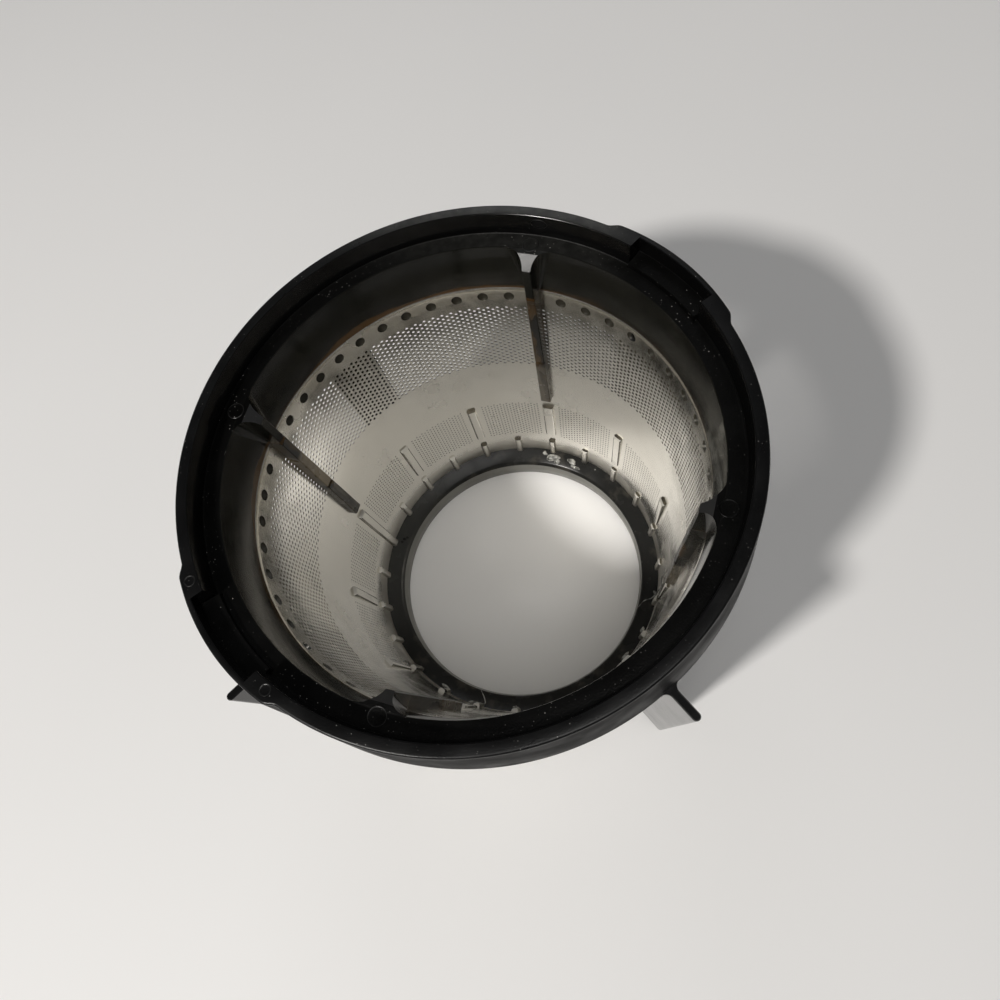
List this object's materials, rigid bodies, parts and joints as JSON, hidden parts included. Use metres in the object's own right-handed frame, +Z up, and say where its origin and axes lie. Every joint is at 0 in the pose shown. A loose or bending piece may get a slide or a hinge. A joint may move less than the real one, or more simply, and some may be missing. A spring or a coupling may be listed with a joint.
{
  "type": "juicer mesh screen",
  "caption": "Conical juicer strainer: a perforated and embossed steel sheet held in a moulded black frame with a stepped rim, inner ribs, outer fins and an open foot ring.",
  "frame": {"origin": "middle of the foot ring's underside, on the surface that the part stands on", "axes": "+Z up the axis of the cone towards the rim; the inner ribs lie on the X and Y axes"},
  "size_m": [0.1102, 0.1102, 0.0873],
  "materials": {
    "screen_steel": "satin stainless sheet with a warm juice tint",
    "frame_plastic": "black moulded plastic, glossy walls, satin rim and spark-textured ledge"
  },
  "bodies": {
    "root": {"perforated_screen": "screen_steel", "moulded_frame": "frame_plastic"}
  },
  "joints": []
}
